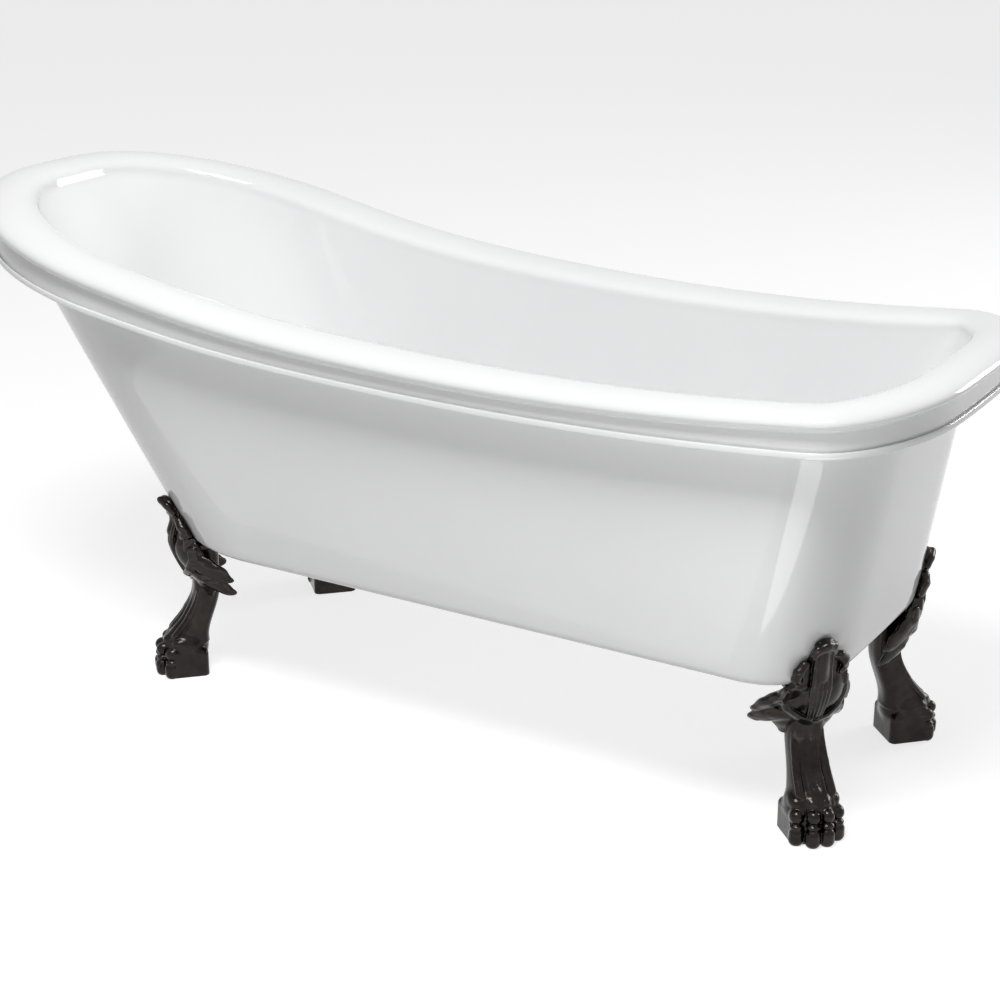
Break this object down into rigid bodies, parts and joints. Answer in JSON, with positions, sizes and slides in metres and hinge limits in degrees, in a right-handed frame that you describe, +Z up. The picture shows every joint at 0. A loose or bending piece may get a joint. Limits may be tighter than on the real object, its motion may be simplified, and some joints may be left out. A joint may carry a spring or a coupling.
{
  "type": "clawfoot bathtub",
  "caption": "Free-standing double-skinned slipper bath with one raised end, a rolled rim, black paw feet, a click waste and an overflow in the low end.",
  "frame": {"origin": "on the floor, under the middle of the bath's overall length and width", "axes": "+X towards the low end, which has the waste and overflow; +Y across the bath, away from the viewer; +Z up"},
  "size_m": [1.5966, 0.6469, 0.7323],
  "materials": {
    "white_acrylic": "high-gloss white cast acrylic",
    "black_casting": "gloss black enamel over a sand casting",
    "adhesive": "cured white assembly adhesive",
    "board": "resin-coated chipboard",
    "zinc_steel": "bright zinc plate",
    "insert_brass": "turned brass",
    "rubber_seal": "matt black rubber",
    "polished_chrome": "polished chrome plate",
    "pipe_plastic": "moulded white polypropylene",
    "hose_plastic": "grey flexible plastic hose"
  },
  "bodies": {
    "bath": {"inner_shell": "white_acrylic", "outer_shell": "white_acrylic", "rim_bond": "adhesive", "base_board": "board", "floor_packer_head": "board", "floor_packer_middle": "board", "floor_packer_foot": "board", "claw_foot_foot_near": "black_casting", "claw_foot_foot_far": "black_casting", "claw_foot_head_near": "black_casting", "claw_foot_head_far": "black_casting", "foot_washers": "zinc_steel", "foot_bolts": "zinc_steel", "board_inserts": "insert_brass", "waste_seal": "rubber_seal", "waste_gasket": "rubber_seal", "outlet_seal": "rubber_seal", "overflow_washer": "rubber_seal", "overflow_gasket": "rubber_seal", "waste_flange": "polished_chrome", "overflow_cover": "polished_chrome", "overflow_screw": "polished_chrome", "click_cartridge": "insert_brass", "waste_body": "pipe_plastic", "outlet_tail": "pipe_plastic", "outlet_nut": "pipe_plastic", "overflow_elbow": "pipe_plastic", "overflow_hose": "hose_plastic", "hose_clips": "zinc_steel"},
    "plug": {"waste_plug": "polished_chrome", "plug_seal": "rubber_seal"},
    "glide_foot_near": {"leveller_foot_near": "zinc_steel"},
    "glide_foot_far": {"leveller_foot_far": "zinc_steel"},
    "glide_head_near": {"leveller_head_near": "zinc_steel"},
    "glide_head_far": {"leveller_head_far": "zinc_steel"}
  },
  "joints": [
    {"name": "plug_lift", "type": "slide", "parent": "bath", "child": "plug", "axis": [0, 0, 1], "range_m": [0, 0.009]},
    {"name": "level_foot_near", "type": "slide", "parent": "bath", "child": "glide_foot_near", "axis": [0, 0, -1], "range_m": [0, 0.012]},
    {"name": "level_foot_far", "type": "slide", "parent": "bath", "child": "glide_foot_far", "axis": [0, 0, -1], "range_m": [0, 0.012]},
    {"name": "level_head_near", "type": "slide", "parent": "bath", "child": "glide_head_near", "axis": [0, 0, -1], "range_m": [0, 0.012]},
    {"name": "level_head_far", "type": "slide", "parent": "bath", "child": "glide_head_far", "axis": [0, 0, -1], "range_m": [0, 0.012]}
  ]
}
